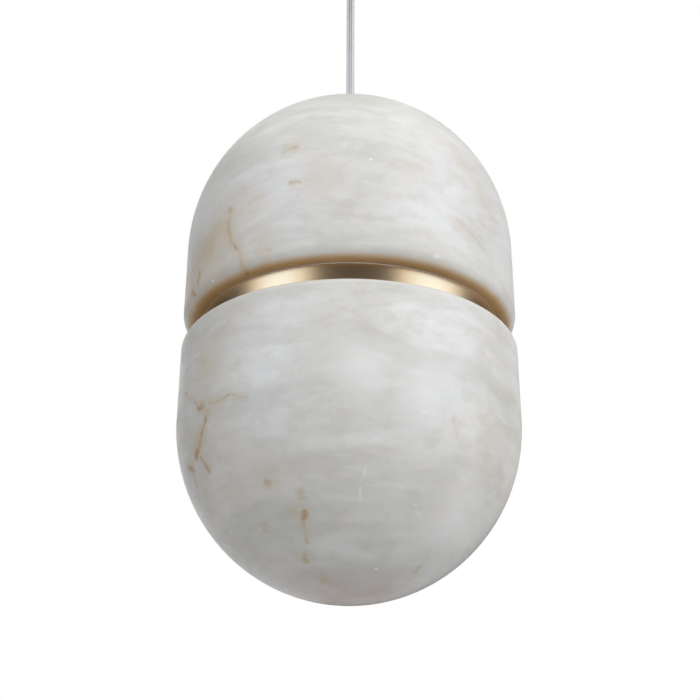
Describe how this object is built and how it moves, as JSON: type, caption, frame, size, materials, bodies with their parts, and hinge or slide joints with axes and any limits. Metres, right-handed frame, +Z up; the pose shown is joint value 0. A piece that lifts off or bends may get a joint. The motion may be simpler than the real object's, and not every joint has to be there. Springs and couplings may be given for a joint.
{
  "type": "alabaster bowl pendant",
  "caption": "Pendant lamp: a hollow alabaster dome over a hollow alabaster bowl, joined by a recessed brass band, on a clear cable from a ceiling rose.",
  "frame": {"origin": "centre of the rose's mounting face, where it meets the ceiling", "axes": "+Z up into the ceiling, +X through the two cover screws and the two ceiling screw slots, +Y towards the lamp driver"},
  "size_m": [0.22, 0.22, 0.5433],
  "materials": {
    "alabaster": "honed, waxed alabaster with clouded bands and thin amber veins",
    "band_brass": "satin brushed brass, clear lacquer",
    "turned_brass": "satin turned brass",
    "rose_brass": "satin brushed spun brass",
    "zinc_steel": "bright zinc-plated steel",
    "plate_steel": "galvanised sheet steel",
    "aluminium": "turned aluminium, fine lathe lines",
    "board_white": "white solder mask on an aluminium-core board",
    "chip_yellow": "phosphor-coated lamp chips",
    "opal": "opal acrylic",
    "silicone": "translucent white silicone",
    "clear_jacket": "clear flexible PVC over two tinned cores and a steel wire",
    "insert_plastic": "white nylon",
    "driver_plastic": "white moulded plastic",
    "terminal_plastic": "cream moulded plastic",
    "lead_jacket": "white insulated leads"
  },
  "bodies": {
    "rose": {"mounting_plate": "plate_steel", "cover_brackets": "plate_steel", "bracket_rivets": "zinc_steel", "rose_cover": "rose_brass", "cover_screws": "turned_brass", "lamp_driver": "driver_plastic", "driver_screws": "zinc_steel", "mains_terminal": "terminal_plastic", "terminal_screws": "zinc_steel", "rose_leads": "lead_jacket", "rose_grip_cap": "turned_brass", "rose_grip_insert": "insert_plastic", "rose_grip_body": "turned_brass", "rose_grip_nut": "turned_brass", "cord_tail": "clear_jacket", "strain_wire_clamp": "turned_brass"},
    "cord": {"power_cord": "clear_jacket"},
    "neck": {"dome_grip_cap": "turned_brass", "dome_grip_insert": "insert_plastic", "dome_grip_cup": "turned_brass", "dome_grip_tail": "clear_jacket"},
    "pendant": {"swivel_nut": "turned_brass", "hub_tube": "zinc_steel", "apex_pad": "silicone", "apex_washer": "turned_brass", "upper_dome": "alabaster", "crown_pad": "silicone", "crown_washer": "zinc_steel", "crown_nut": "zinc_steel", "carrier_nut_upper": "zinc_steel", "carrier_nut_lower": "zinc_steel", "carrier_plate": "aluminium", "carrier_screws": "zinc_steel", "bayonet_ring": "aluminium", "brass_band": "band_brass", "upper_gasket": "silicone", "lamp_board_up": "board_white", "lamp_chips_up": "chip_yellow", "lamp_board_down": "board_white", "lamp_chips_down": "chip_yellow", "board_screws_up": "zinc_steel", "diffuser_up": "opal", "diffuser_down": "opal", "lamp_leads": "lead_jacket"},
    "seal": {"lower_gasket": "silicone"},
    "bowl": {"lower_bowl": "alabaster", "bowl_collar": "aluminium", "bayonet_pins": "zinc_steel"}
  },
  "joints": [
    {"name": "cord_swing", "type": "hinge", "parent": "rose", "child": "cord", "pos_m": [0, 0, -0.043], "axis": [0, 1, 0], "range_deg": [-20, 20]},
    {"name": "pendant_tilt", "type": "hinge", "parent": "cord", "child": "neck", "pos_m": [0, 0, -0.178], "axis": [1, 0, 0], "range_deg": [-15, 15]},
    {"name": "pendant_twist", "type": "hinge", "parent": "neck", "child": "pendant", "pos_m": [0, 0, -0.19], "axis": [0, 0, 1], "range_deg": [-90, 90]},
    {"name": "bowl_drop", "type": "slide", "parent": "pendant", "child": "seal", "axis": [0, 0, -1], "range_m": [0, 0.008]},
    {"name": "bowl_turn", "type": "hinge", "parent": "seal", "child": "bowl", "pos_m": [0, 0, -0.3796], "axis": [0, 0, -1], "range_deg": [0, 90]}
  ],
  "couplings": [
    {"joint": "bowl_drop", "follows": "bowl_turn", "m_per_rad": 0.005093}
  ]
}
